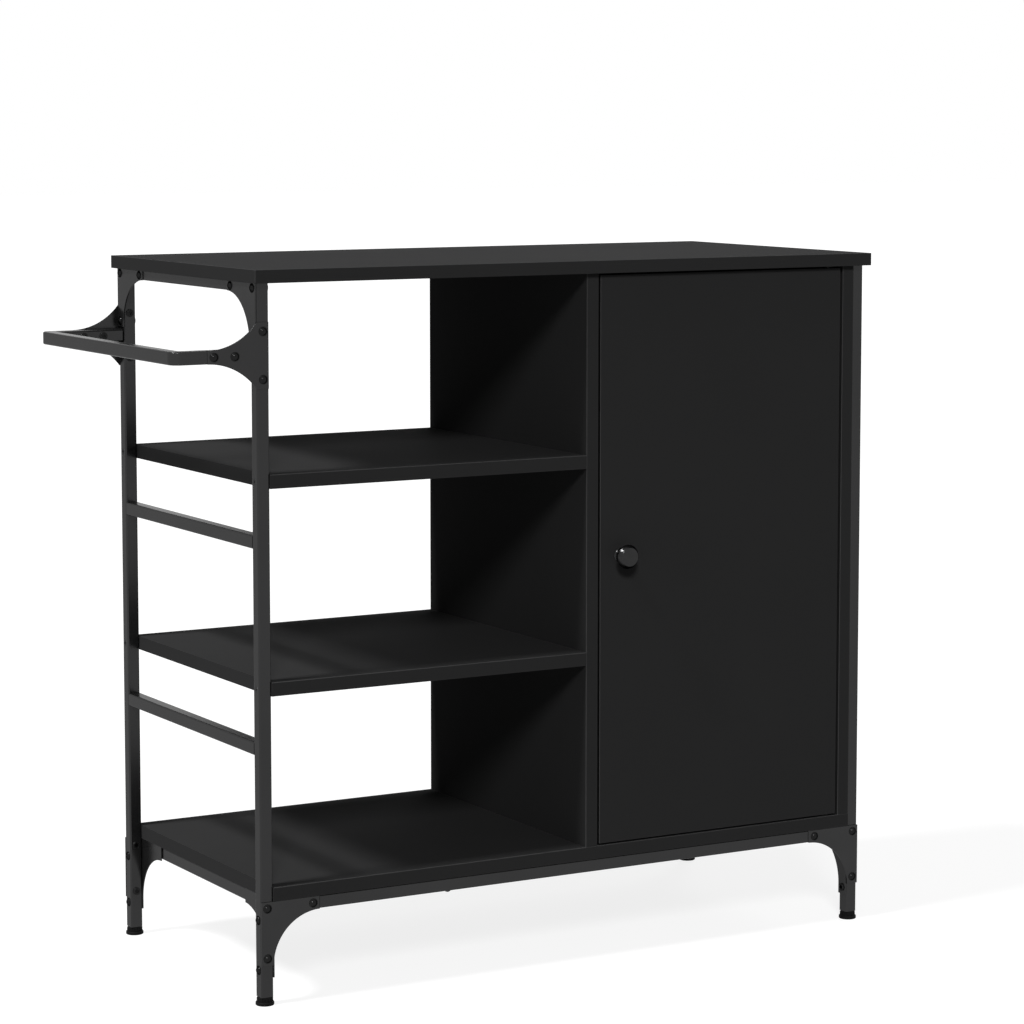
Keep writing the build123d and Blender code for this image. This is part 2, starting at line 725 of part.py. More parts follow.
def foot_plug():
    """A plastic plug in the post's end, bored for the foot's stud."""
    inside = tube - 2 * tube_wall
    plug = block(-inside / 2, inside / 2, -inside / 2, inside / 2, foot_height, foot_height + plug_height)
    bore = rod(stud_radius + stud_clearance, (0, 0, foot_height - past), (0, 0, 1), stud_length + 2 * past)
    return plug - bore


foot_shape = foot()
plug_shape = foot_plug()
corners = {
    "front_left": (tube_middle, front_line),
    "back_left": (tube_middle, back_line),
    "front_right": (right_line, front_line),
    "back_right": (right_line, back_line),
}
for name, (x, y) in corners.items():
    pieces[f"{name}_foot"] = Pos(x, y, 0) * foot_shape
pieces["foot_plugs"] = together([Pos(x, y, 0) * plug_shape for x, y in corners.values()])

os.makedirs("parts", exist_ok=True)
for name, shape in pieces.items():
    export_step(Pos(*origin_shift) * shape, f"parts/{name}.step")
print(f"{len(pieces)} pieces, origin shift {origin_shift}")
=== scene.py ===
import json
import math

import bmesh
import bpy
from mathutils import Matrix, Vector


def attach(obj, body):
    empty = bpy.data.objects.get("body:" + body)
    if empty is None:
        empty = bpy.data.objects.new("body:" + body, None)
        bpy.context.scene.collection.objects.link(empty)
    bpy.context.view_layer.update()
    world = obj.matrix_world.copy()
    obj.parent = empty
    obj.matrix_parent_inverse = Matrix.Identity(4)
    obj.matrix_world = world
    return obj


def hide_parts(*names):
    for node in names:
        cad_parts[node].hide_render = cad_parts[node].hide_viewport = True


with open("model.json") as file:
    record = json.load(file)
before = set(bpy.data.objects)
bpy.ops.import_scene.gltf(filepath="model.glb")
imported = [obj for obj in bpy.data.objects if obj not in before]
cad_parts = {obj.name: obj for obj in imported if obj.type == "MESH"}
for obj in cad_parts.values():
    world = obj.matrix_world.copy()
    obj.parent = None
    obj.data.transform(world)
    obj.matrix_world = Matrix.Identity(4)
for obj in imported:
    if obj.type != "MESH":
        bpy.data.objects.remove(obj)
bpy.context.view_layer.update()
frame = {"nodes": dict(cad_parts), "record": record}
nodes = frame["nodes"]
print("frame loaded with", len(nodes), "nodes")

# working sizes in millimetres: x right from the left posts, y back from the posts' front face, z up from the floor
island = {
    "originX": 359.25, "originY": 183.0,
    "width": 814.0, "depth": 382.0, "tube": 15.0, "plate": 1.5,
    "topUnder": 810.0, "boardUnder": 118.5, "board": 16.0,
    "shelfTops": (598.5, 366.5), "frameTop": 813.7, "boltPitch": 57.0, "topBoltDrop": 5.5, "sideDrop": 14.0,
    "handleLevel": 730.5, "handlePostBolts": 26.5, "handleArmBolts": (26.5, 51.5),
    "boardTop": 134.5, "panelScrewRise": 116.0, "dividerRight": 437.5, "uprights": (429.5, 791.0),
    "panelInset": 60.0, "baseScrews": (241.0, 573.0), "topScrewSpread": 90.0,
    "stretcherScrews": (547.5, 673.0), "stretcherLine": 58.0,
    "catch": (480.0, 36.6, 782.0), "catchSpread": 11.0, "strike": (480.0, 15.0, 788.0),
    "knob": (467.5, 478.5), "doorFront": -2.0, "doorBack": 14.0,
}


def spot(x, y, z):
    return Vector(((x - island["originX"]) / 1000, (y - island["originY"]) / 1000, z / 1000))


# shader maths as plain expressions
class Wire:
    def __init__(self, finish, socket):
        self.finish = finish
        self.socket = socket

    def math(self, operation, first, second):
        return self.finish.node("ShaderNodeMath", {"operation": operation}, {0: first, 1: second})

    def __add__(self, other):
        return self.math("ADD", self, other)

    def __sub__(self, other):
        return self.math("SUBTRACT", self, other)

    def __rsub__(self, other):
        return self.math("SUBTRACT", other, self)

    def __mul__(self, other):
        return self.math("MULTIPLY", self, other)

    def __pow__(self, other):
        return self.math("POWER", self, other)

    __radd__ = __add__
    __rmul__ = __mul__


class Finish:
    def __init__(self, owner):
        self.owner = owner
        owner.use_nodes = True
        self.tree = owner.node_tree
        self.tree.nodes.clear()

    # any node: its type, its settings, then the values or links of its sockets
    def node(self, kind, settings=None, sockets=None, output=0):
        made = self.tree.nodes.new(kind)
        for key, value in (settings or {}).items():
            setattr(made, key, value)
        for key, value in (sockets or {}).items():
            if isinstance(value, Wire):
                self.tree.links.new(value.socket, made.inputs[key])
            else:
                made.inputs[key].default_value = value
        return Wire(self, made.outputs[output]) if made.outputs else None

    def objectCoords(self):
        return self.node("ShaderNodeTexCoord", output="Object")

    def stretched(self, coords, scale):
        return self.node("ShaderNodeMapping", None, {"Vector": coords, "Scale": scale})

    def noise(self, coords, scale, detail=2.0, rough=0.5):
        sockets = {"Vector": coords, "Scale": scale, "Detail": detail, "Roughness": rough}
        return self.node("ShaderNodeTexNoise", None, sockets)

    # the mix node's colours are its inputs 6 and 7 and its output 2
    def mixColour(self, factor, first, second):
        sockets = {0: factor}
        for place, tone in ((6, first), (7, second)):
            sockets[place] = tone if isinstance(tone, Wire) else (*tone, 1.0)
        return self.node("ShaderNodeMix", {"data_type": "RGBA"}, sockets, output=2)

    # 0 on faces to the front and back, 1 on the four edges between them
    def sideways(self):
        way = self.node("ShaderNodeTexCoord", output="Normal")
        ahead = self.node("ShaderNodeSeparateXYZ", None, {"Vector": way}, output="Y")
        return 1 - ahead * ahead

    # 0 on flat faces that lie square to the axes, 1 where a rounded edge turns between two of them
    def arris(self):
        way = self.node("ShaderNodeTexCoord", output="Normal")
        squared = self.node("ShaderNodeVectorMath", {"operation": "MULTIPLY"}, {0: way, 1: way})
        flatness = self.node("ShaderNodeVectorMath", {"operation": "DOT_PRODUCT"}, {0: squared, 1: squared},
                             output="Value")
        return (1 - flatness) * 2

    def bump(self, height, distance, strength=1.0):
        return self.node("ShaderNodeBump", None, {"Height": height, "Distance": distance, "Strength": strength})

    def surface(self, sockets):
        shader = self.node("ShaderNodeBsdfPrincipled", None, sockets)
        self.node("ShaderNodeOutputMaterial", None, {"Surface": shader})
        return self.owner


# satin powder coat: orange-peel skin over a slow drift of tone
def powderCoat(name, look):
    finish = Finish(bpy.data.materials.new(name))
    coords = finish.objectCoords()
    drift = finish.noise(coords, look["driftScale"], detail=3.0)
    peel = finish.noise(coords, look["peelScale"], detail=2.0, rough=0.6)
    grit = finish.noise(coords, look["gritScale"], detail=1.0)
    tone = finish.mixColour(drift, look["dark"], look["pale"])
    skin = peel * look["peelShare"] + grit * (1 - look["peelShare"])
    return finish.surface({
        "Base Color": tone,
        "Metallic": look["metal"],
        "Roughness": look["rough"] + (grit - 0.5) * look["roughSpread"],
        "Specular IOR Level": look["specular"],
        "Specular Tint": (*look["edgeTint"], 1.0),
        "Normal": finish.bump(skin, look["peelDepth"]),
    })


# melamine face: a fine pebble print with a faint mottle, a painted highlight along the rounded edges and, on the
# door, painted shade on its four edge faces
def melamine(name, look):
    finish = Finish(bpy.data.materials.new(name))
    coords = finish.objectCoords()
    mottle = finish.noise(coords, look["mottleScale"], detail=4.0, rough=0.6)
    pebble = finish.node("ShaderNodeTexVoronoi", {"feature": "SMOOTH_F1"},
                         {"Vector": coords, "Scale": look["pebbleScale"], "Smoothness": look["pebbleSmooth"]})
    grain = finish.noise(coords, look["grainScale"], detail=2.0)
    speckle = mottle * look["mottleShare"] + grain * (1 - look["mottleShare"])
    tone = finish.mixColour(speckle, look["dark"], look["pale"])
    # painted highlight: the rounded edges take the paler edge colour, as where light catches them
    edgeHighlight = finish.arris() * look["edgeHighlightShare"] * (look["highlightLeast"] + mottle * look["highlightSpread"])
    if "gapShade" in look:  # painted shade: the door's four edge faces are darkened where they sit in the gaps round the door
        tone = finish.mixColour(finish.sideways() ** look["gapShadeSharp"], tone, look["gapShade"])
    return finish.surface({
        "Base Color": finish.mixColour(edgeHighlight, tone, look["edge"]),
        "Roughness": look["rough"] + (grain - 0.5) * look["roughSpread"],
        "Specular IOR Level": look["specular"],
        "Normal": finish.bump(pebble, look["pebbleDepth"], look["pebbleStrength"]),
    })


# glossy black: lacquer with a very slight ripple
def gloss(name, look):
    finish = Finish(bpy.data.materials.new(name))
    coords = finish.objectCoords()
    ripple = finish.noise(coords, look["rippleScale"], detail=1.0)
    haze = finish.noise(coords, look["hazeScale"], detail=3.0)
    return finish.surface({
        "Base Color": finish.mixColour(haze, look["dark"], look["pale"]),
        "Metallic": look["metal"],
        "Roughness": look["rough"] + haze * look["roughSpread"],
        "Specular IOR Level": look["specular"],
        "Specular Tint": (*look["edgeTint"], 1.0),
        "Normal": finish.bump(ripple, look["rippleDepth"]),
    })


# moulded plastic: spark-eroded grain
def moulded(name, look):
    finish = Finish(bpy.data.materials.new(name))
    coords = finish.objectCoords()
    grain = finish.noise(coords, look["grainScale"], detail=3.0, rough=0.65)
    drift = finish.noise(coords, look["driftScale"], detail=2.0)
    return finish.surface({
        "Base Color": finish.mixColour(drift, look["dark"], look["pale"]),
        "Roughness": look["rough"] + (grain - 0.5) * look["roughSpread"],
        "Specular IOR Level": look["specular"],
        "Normal": finish.bump(grain, look["grainDepth"]),
    })


# zinc-plated steel: patchy passivation and fine drawing lines
def zincPlate(name, look):
    finish = Finish(bpy.data.materials.new(name))
    coords = finish.objectCoords()
    patch = finish.noise(coords, look["patchScale"], detail=4.0)
    lines = finish.noise(finish.stretched(coords, look["lineStretch"]), look["lineScale"], detail=2.0)
    return finish.surface({
        "Base Color": finish.mixColour(patch, look["dark"], look["pale"]),
        "Metallic": 1.0,
        "Roughness": look["rough"] + (lines - 0.5) * look["roughSpread"],
        "Normal": finish.bump(lines, look["lineDepth"]),
    })


# beech and hardboard: fibres drawn out along one axis
def fibre(name, look):
    finish = Finish(bpy.data.materials.new(name))
    coords = finish.objectCoords()
    strand = finish.noise(finish.stretched(coords, look["stretch"]), look["strandScale"], detail=4.0, rough=0.6)
    fleck = finish.noise(coords, look["fleckScale"], detail=2.0)
    weave = strand * look["strandShare"] + fleck * (1 - look["strandShare"])
    return finish.surface({
        "Base Color": finish.mixColour(weave, look["dark"], look["pale"]),
        "Roughness": look["rough"] + (fleck - 0.5) * look["roughSpread"],
        "Specular IOR Level": look["specular"],
        "Normal": finish.bump(strand, look["strandDepth"]),
    })


frameCoat = powderCoat("frameCoat", {
    "dark": (0.033, 0.033, 0.0334), "pale": (0.041, 0.041, 0.0414), "driftScale": 9.0,
    "peelScale": 900.0, "gritScale": 2600.0, "peelDepth": 0.00002, "peelShare": 0.7,
    "rough": 0.24, "roughSpread": 0.1, "metal": 0.8, "specular": 0.1, "edgeTint": (0.57, 0.57, 0.57)})
plateCoat = powderCoat("plateCoat", {
    "dark": (0.033, 0.033, 0.0334), "pale": (0.041, 0.041, 0.0414), "driftScale": 22.0,
    "peelScale": 1100.0, "gritScale": 2900.0, "peelDepth": 0.00002, "peelShare": 0.7,
    "rough": 0.24, "roughSpread": 0.1, "metal": 0.8, "specular": 0.1, "edgeTint": (0.57, 0.57, 0.57)})
# the edge colour is a painted highlight along the boards' rounded edges
boardFace = melamine("boardFace", {
    "dark": (0.0275, 0.0275, 0.0278), "pale": (0.034, 0.034, 0.0343), "mottleScale": 7.0, "mottleShare": 0.6,
    "pebbleScale": 1400.0, "grainScale": 3200.0, "pebbleDepth": 0.00002, "pebbleStrength": 0.5,
    "pebbleSmooth": 0.6, "edge": (0.075, 0.075, 0.0755), "edgeHighlightShare": 0.8, "highlightLeast": 0.7, "highlightSpread": 0.6,
    "rough": 0.6, "roughSpread": 0.1, "specular": 0.0005})
# the door's dark edge-face colour is painted shade in the gaps; its edge colour is a painted highlight along the
# rounded edges
doorFace = melamine("doorFace", {
    "dark": (0.0275, 0.0275, 0.0278), "pale": (0.0335, 0.0335, 0.0338), "mottleScale": 6.0, "mottleShare": 0.6,
    "pebbleScale": 1400.0, "grainScale": 3200.0, "pebbleDepth": 0.00002, "pebbleStrength": 0.5,
    "pebbleSmooth": 0.6, "edge": (0.075, 0.075, 0.0755), "edgeHighlightShare": 0.8, "highlightLeast": 0.7, "highlightSpread": 0.6,
    "gapShade": (0.009, 0.009, 0.0091), "gapShadeSharp": 4, "rough": 0.6, "roughSpread": 0.1, "specular": 0.0005})
knobLacquer = gloss("knobLacquer", {
    "dark": (0.027, 0.027, 0.0272), "pale": (0.033, 0.033, 0.0333), "hazeScale": 160.0,
    "rippleScale": 240.0, "rippleDepth": 0.00001, "rough": 0.17, "roughSpread": 0.05,
    "metal": 0.9, "specular": 0.1, "edgeTint": (0.06, 0.06, 0.06)})
boltLacquer = gloss("boltLacquer", {
    "dark": (0.014, 0.014, 0.0141), "pale": (0.019, 0.019, 0.0192), "hazeScale": 420.0,
    "rippleScale": 700.0, "rippleDepth": 0.00001, "rough": 0.17, "roughSpread": 0.04,
    "metal": 0.9, "specular": 0.1, "edgeTint": (0.05, 0.05, 0.05)})
nutBlack = gloss("nutBlack", {
    "dark": (0.022, 0.022, 0.0222), "pale": (0.032, 0.032, 0.0323), "hazeScale": 500.0,
    "rippleScale": 900.0, "rippleDepth": 0.00001, "rough": 0.3, "roughSpread": 0.1,
    "metal": 0.8, "specular": 0.1, "edgeTint": (0.3, 0.3, 0.3)})
screwBlack = gloss("screwBlack", {
    "dark": (0.02, 0.02, 0.0202), "pale": (0.03, 0.03, 0.0303), "hazeScale": 520.0,
    "rippleScale": 950.0, "rippleDepth": 0.00001, "rough": 0.26, "roughSpread": 0.1,
    "metal": 0.8, "specular": 0.1, "edgeTint": (0.3, 0.3, 0.3)})
screwDark = gloss("screwDark", {
    "dark": (0.06, 0.06, 0.0604), "pale": (0.085, 0.085, 0.0856), "hazeScale": 520.0,
    "rippleScale": 950.0, "rippleDepth": 0.00001, "rough": 0.26, "roughSpread": 0.1,
    "metal": 0.9, "specular": 0.1, "edgeTint": (0.3, 0.3, 0.3)})
footPlastic = moulded("footPlastic", {
    "dark": (0.006, 0.006, 0.006), "pale": (0.01, 0.01, 0.01), "grainScale": 2200.0, "driftScale": 60.0,
    "grainDepth": 0.00003, "rough": 0.5, "roughSpread": 0.16, "specular": 0.04})
innerPlastic = moulded("innerPlastic", {
    "dark": (0.007, 0.007, 0.007), "pale": (0.011, 0.011, 0.011), "grainScale": 1900.0, "driftScale": 45.0,
    "grainDepth": 0.00003, "rough": 0.52, "roughSpread": 0.14, "specular": 0.04})
magnetBlock = moulded("magnetBlock", {
    "dark": (0.04, 0.04, 0.042), "pale": (0.07, 0.07, 0.072), "grainScale": 2600.0, "driftScale": 90.0,
    "grainDepth": 0.00004, "rough": 0.62, "roughSpread": 0.2, "specular": 0.4})
zincSteel = zincPlate("zincSteel", {
    "dark": (0.42, 0.42, 0.4), "pale": (0.62, 0.61, 0.57), "patchScale": 180.0,
    "lineStretch": (1.0, 1.0, 14.0), "lineScale": 260.0, "lineDepth": 0.00001, "rough": 0.32, "roughSpread": 0.16})
beech = fibre("beech", {
    "dark": (0.42, 0.26, 0.13), "pale": (0.62, 0.43, 0.25), "stretch": (1.0, 1.0, 0.12), "strandScale": 900.0,
    "fleckScale": 1600.0, "strandShare": 0.7, "strandDepth": 0.00005, "rough": 0.6, "roughSpread": 0.1,
    "specular": 0.4})
hardboard = fibre("hardboard", {
    "dark": (0.02, 0.0196, 0.0191), "pale": (0.031, 0.0303, 0.0295), "stretch": (1.0, 1.0, 0.35),
    "strandScale": 240.0, "fleckScale": 900.0, "strandShare": 0.7, "strandDepth": 0.00004, "rough": 0.62,
    "roughSpread": 0.12, "specular": 0.3})

slotFinish = {
    "frame_metal": frameCoat, "plate_metal": plateCoat, "board": boardFace, "door_board": doorFace,
    "back_board": hardboard, "knob": knobLacquer, "bolt": boltLacquer, "nut": nutBlack,
    "foot_plastic": footPlastic, "black_plastic": innerPlastic, "dowel_wood": beech, "black_screw": screwBlack,
    "dark_zinc": screwDark, "magnet": magnetBlock, "zinc_steel": zincSteel,
}
for part in frame["record"]["subparts"]:
    mesh = nodes[part["node"]].data
    mesh.materials.clear()
    mesh.materials.append(slotFinish[part["material_slot"]])
print("finishes on", len(nodes), "nodes")


# mesh helpers
def latheMesh(name, profile, steps, crease=40.0):
    # profile points are (radius, height) in millimetres, from one pole or rim to the other
    shape = bmesh.new()
    rings = []
    for radius, height in profile:
        if radius < 1e-6:
            rings.append([shape.verts.new((0, 0, height / 1000))])
            continue
        turn = [2 * math.pi * step / steps for step in range(steps)]
        rings.append([shape.verts.new((radius * math.cos(a) / 1000, radius * math.sin(a) / 1000, height / 1000))
                      for a in turn])
    for low, high in zip(rings, rings[1:]):
        for step in range(steps):
            ahead = (step + 1) % steps
            if len(low) == 1:
                shape.faces.new((low[0], high[ahead], high[step]))
            elif len(high) == 1:
                shape.faces.new((low[step], low[ahead], high[0]))
            else:
                shape.faces.new((low[step], low[ahead], high[ahead], high[step]))
    bmesh.ops.recalc_face_normals(shape, faces=shape.faces)
    mesh = bpy.data.meshes.new(name)
    shape.to_mesh(mesh)
    shape.free()
    smooth(mesh, crease)
    return mesh


def smooth(mesh, crease):
    mesh.polygons.foreach_set("use_smooth", [True] * len(mesh.polygons))
    mesh.set_sharp_from_angle(angle=math.radians(crease))


def arc(centre, radius, start, end, steps):
    turn = [math.radians(start + (end - start) * step / steps) for step in range(steps + 1)]
    return [(centre[0] + radius * math.cos(a), centre[1] + radius * math.sin(a)) for a in turn]


def addObject(name, data):
    made = bpy.data.objects.new(name, data)
    bpy.context.scene.collection.objects.link(made)
    return made


def fitPiece(piece, body, slotName, *replaced):
    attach(piece, body)
    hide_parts(*replaced)


# a tree that sets one shape on every point, facing the way the point says
def scatterTree(name):
    tree = bpy.data.node_groups.new(name, "GeometryNodeTree")
    face = tree.interface
    face.new_socket("Geometry", in_out="INPUT", socket_type="NodeSocketGeometry")
    face.new_socket("Shape", in_out="INPUT", socket_type="NodeSocketObject")
    face.new_socket("Size", in_out="INPUT", socket_type="NodeSocketFloat")
    face.new_socket("Spin", in_out="INPUT", socket_type="NodeSocketFloat")
    face.new_socket("Seed", in_out="INPUT", socket_type="NodeSocketInt")
    face.new_socket("Material", in_out="INPUT", socket_type="NodeSocketMaterial")
    face.new_socket("Geometry", in_out="OUTPUT", socket_type="NodeSocketGeometry")
    add, link = tree.nodes.new, tree.links.new
    given = add("NodeGroupInput")
    shape = add("GeometryNodeObjectInfo")
    link(given.outputs["Shape"], shape.inputs["Object"])
    facing = add("GeometryNodeInputNamedAttribute")
    facing.data_type = "FLOAT_VECTOR"
    facing.inputs["Name"].default_value = "facing"
    aim = add("FunctionNodeAlignRotationToVector")
    aim.axis = "Z"
    link(facing.outputs["Attribute"], aim.inputs["Vector"])
    chance = add("FunctionNodeRandomValue")  # input 3 and output 1 are its float limit and its float
    chance.data_type = "FLOAT"
    link(given.outputs["Spin"], chance.inputs[3])
    link(given.outputs["Seed"], chance.inputs["Seed"])
    twist = add("ShaderNodeCombineXYZ")
    link(chance.outputs[1], twist.inputs["Z"])
    asTurn = add("FunctionNodeEulerToRotation")
    link(twist.outputs[0], asTurn.inputs[0])
    turn = add("FunctionNodeRotateRotation")
    turn.rotation_space = "LOCAL"
    link(aim.outputs[0], turn.inputs[0])
    link(asTurn.outputs[0], turn.inputs[1])
    setOn = add("GeometryNodeInstanceOnPoints")
    link(given.outputs["Geometry"], setOn.inputs["Points"])
    link(shape.outputs["Geometry"], setOn.inputs["Instance"])
    link(turn.outputs[0], setOn.inputs["Rotation"])
    link(given.outputs["Size"], setOn.inputs["Scale"])
    real = add("GeometryNodeRealizeInstances")
    link(setOn.outputs[0], real.inputs[0])
    paint = add("GeometryNodeSetMaterial")
    link(real.outputs[0], paint.inputs["Geometry"])
    link(given.outputs["Material"], paint.inputs["Material"])
    done = add("NodeGroupOutput")
    link(paint.outputs[0], done.inputs[0])
    return tree


# a tree that stands ribs round a turned body
def ribTree(name):
    tree = bpy.data.node_groups.new(name, "GeometryNodeTree")
    face = tree.interface
    face.new_socket("Geometry", in_out="INPUT", socket_type="NodeSocketGeometry")
    face.new_socket("Rib", in_out="INPUT", socket_type="NodeSocketObject")
    face.new_socket("Rib Count", in_out="INPUT", socket_type="NodeSocketInt")
    face.new_socket("Ring Radius", in_out="INPUT", socket_type="NodeSocketFloat")
    face.new_socket("Material", in_out="INPUT", socket_type="NodeSocketMaterial")
    face.new_socket("Geometry", in_out="OUTPUT", socket_type="NodeSocketGeometry")
    add, link = tree.nodes.new, tree.links.new
    given = add("NodeGroupInput")
    ring = add("GeometryNodeMeshCircle")
    link(given.outputs["Rib Count"], ring.inputs["Vertices"])
    link(given.outputs["Ring Radius"], ring.inputs["Radius"])
    rib = add("GeometryNodeObjectInfo")
    link(given.outputs["Rib"], rib.inputs["Object"])
    place = add("GeometryNodeInputPosition")
    aim = add("FunctionNodeAlignRotationToVector")
    aim.axis = "X"
    aim.pivot_axis = "Z"
    link(place.outputs[0], aim.inputs["Vector"])
    setOn = add("GeometryNodeInstanceOnPoints")
    link(ring.outputs["Mesh"], setOn.inputs["Points"])
    link(rib.outputs["Geometry"], setOn.inputs["Instance"])
    link(aim.outputs[0], setOn.inputs["Rotation"])
    both = add("GeometryNodeJoinGeometry")
    link(given.outputs["Geometry"], both.inputs[0])
    link(setOn.outputs[0], both.inputs[0])
    real = add("GeometryNodeRealizeInstances")
    link(both.outputs[0], real.inputs[0])
    paint = add("GeometryNodeSetMaterial")
    link(real.outputs[0], paint.inputs["Geometry"])
    link(given.outputs["Material"], paint.inputs["Material"])
    done = add("NodeGroupOutput")
    link(paint.outputs[0], done.inputs[0])
    return tree


def bakeTree(holder, tree, values):
    modifier = holder.modifiers.new(tree.name, "NODES")
    modifier.node_group = tree
    for item in tree.interface.items_tree:
        if item.item_type == "SOCKET" and item.in_out == "INPUT" and item.name in values:
            modifier[item.identifier] = values[item.name]
    bpy.context.view_layer.update()
    shown = holder.evaluated_get(bpy.context.evaluated_depsgraph_get())
    mesh = bpy.data.meshes.new_from_object(shown)
    holder.modifiers.remove(modifier)
    mesh.name = holder.name
    holder.data = mesh
    return holder


def pointMesh(name, places):
    mesh = bpy.data.meshes.new(name)
    mesh.from_pydata([spot(*seat) for seat, facing in places], [], [])
    attribute = mesh.attributes.new("facing", "FLOAT_VECTOR", "POINT")
    for index, (seat, facing) in enumerate(places):
        attribute.data[index].vector = facing
    return mesh


scatter = scatterTree("fastenerScatter")


# each lot is a shape and its places; all lots become one piece
def scatterPiece(name, lots, look, slotName, body, *replaced):
    joined = bmesh.new()
    for shapeMesh, places in lots:
        shape = addObject(name + "Shape", shapeMesh)
        points = addObject(name + "Points", pointMesh(name + "Points", places))
        bakeTree(points, scatter, {"Shape": shape, "Size": 1.0, "Spin": look["spin"], "Seed": look["seed"],
                                   "Material": slotFinish[slotName]})
        joined.from_mesh(points.data)
        bpy.data.objects.remove(points)
        bpy.data.objects.remove(shape)
    mesh = bpy.data.meshes.new(name)
    joined.to_mesh(mesh)
    joined.free()
    mesh.materials.append(slotFinish[slotName])
    piece = addObject(name, mesh)
    fitPiece(piece, body, slotName, *replaced)
    print(name, sum(len(places) for shapeMesh, places in lots), "set,", len(mesh.polygons), "faces")


# dome bolts through the plates, one flat nut on the far side of each tube
half = island["tube"] / 2
frontLine, backLine = half, island["depth"] - half
rightLine = island["width"] - half
baseLevel = island["boardUnder"] - half
topLevel = island["topUnder"] - island["topBoltDrop"]
sideLevel = baseLevel - island["sideDrop"]
toBack, toFront, toRight, toLeft = (0, 1, 0), (0, -1, 0), (1, 0, 0), (-1, 0, 0)
plate, pitch, handleLevel = island["plate"], island["boltPitch"], island["handleLevel"]

boltPlaces = []
for seat, inward in ((-plate, toBack), (island["depth"] + plate, toFront)):
    for post, along in ((half, 1), (rightLine, -1)):
        boltPlaces += [((post, seat, baseLevel), inward), ((post, seat, baseLevel - pitch), inward),
                       ((post + along * pitch, seat, baseLevel), inward)]
    boltPlaces += [((half, seat, handleLevel + side * island["handlePostBolts"]), inward) for side in (1, -1)]
    boltPlaces += [((-reach, seat, handleLevel), inward) for reach in island["handleArmBolts"]]
for line, along in ((frontLine, 1), (backLine, -1)):
    for seat, inward in ((0, toRight), (island["width"], toLeft)):
        boltPlaces += [((seat, line, sideLevel), inward), ((seat, line, sideLevel - pitch), inward)]
    boltPlaces += [((-plate, line, topLevel), toRight), ((-plate, line, topLevel - pitch), toRight),
                   ((-plate, line + along * pitch, topLevel), toRight)]

domeBolt = {"radius": 4.4, "height": 2.8, "rimRadius": 5.3, "rim": 0.5, "edge": 0.15, "shank": 3.0,
            "tail": 0.7, "tailBevel": 0.4, "domeSteps": 9, "steps": 32, "spin": 0.0, "seed": 3}
grip = island["tube"] + plate
domeRise = domeBolt["height"] - domeBolt["rim"]
domeBall = (domeBolt["radius"] ** 2 + domeRise ** 2) / (2 * domeRise)
domeStart = math.degrees(math.asin(domeBolt["radius"] / domeBall))
domeArc = arc((0, domeBall - domeBolt["height"]), domeBall, -90, domeStart - 90, domeBolt["domeSteps"])
domeArc[0] = (0, -domeBolt["height"])
rimRadius, rimEdge, shank = domeBolt["rimRadius"], domeBolt["edge"], domeBolt["shank"]
boltEnd, tailBevel = grip + domeBolt["tail"], domeBolt["tailBevel"]
boltProfile = domeArc + [
    (rimRadius - rimEdge, -domeBolt["rim"]), (rimRadius, rimEdge - domeBolt["rim"]), (rimRadius, -rimEdge),
    (rimRadius - rimEdge, 0), (shank, 0), (shank, boltEnd - tailBevel), (shank - tailBevel, boltEnd), (0, boltEnd)]
boltMesh = latheMesh("domeBoltShape", boltProfile, domeBolt["steps"])
scatterPiece("domeBolts", [(boltMesh, boltPlaces)], domeBolt, "bolt", "island_frame", "dome_bolts")

flatNut = {"radius": 4.8, "height": 1.2, "ring": 3.6, "ringDepth": 0.35, "ringFloor": 0.3, "ringSlope": 0.25,
           "socket": 2.5, "socketDepth": 0.5, "edge": 0.3, "edgeSteps": 4, "crease": 32.0, "steps": 30, "spin": 1.0,
           "seed": 11}
nutTop, nutEdge, ring, slope = flatNut["height"], flatNut["edge"], flatNut["ring"], flatNut["ringSlope"]
ringLevel, socketLevel = nutTop - flatNut["ringDepth"], nutTop - flatNut["socketDepth"]
ringInner = ring - flatNut["ringFloor"]
nutProfile = [(0, 0), (flatNut["radius"], 0)]
nutProfile += arc((flatNut["radius"] - nutEdge, nutTop - nutEdge), nutEdge, 0, 90, flatNut["edgeSteps"])
nutProfile += [
    (ring + slope, nutTop), (ring, ringLevel), (ringInner, ringLevel), (ringInner - slope, nutTop),
    (flatNut["socket"], nutTop), (flatNut["socket"], socketLevel), (0, socketLevel)]
nutPlaces = [(tuple(Vector(seat) + Vector(inward) * grip), inward) for seat, inward in boltPlaces]
nutMesh = latheMesh("flatNutShape", nutProfile, flatNut["steps"], flatNut["crease"])
scatterPiece("flatNuts", [(nutMesh, nutPlaces)], flatNut, "nut", "island_frame", "flat_nuts")

# cross-head screws: rounded heads that stand on a face, cones and flat heads sunk level with it
screw = {"shank": 2.0, "point": 3.0, "panRadius": 3.9, "panHeight": 2.8, "headRadius": 3.6, "headHeight": 1.8,
         "knobRadius": 4.0, "knobHeight": 2.4, "recess": 2.0, "recessWidth": 0.8, "recessDepth": 1.3,
         "rim": 0.7, "edge": 0.15, "crownSteps": 7, "crease": 35.0, "steps": 32, "spin": 1.57, "seed": 5,
         "length": {"shelf": 43.0, "sidePanel": 28.0, "base": 28.0, "rail": 22.0, "stretcher": 26.0,
                    "divider": 44.0, "catch": 22.0, "strike": 11.0, "knob": 28.0}}
length = screw["length"]


def shankProfile(reach):
    return [(screw["shank"], reach - screw["point"]), (0, reach)]


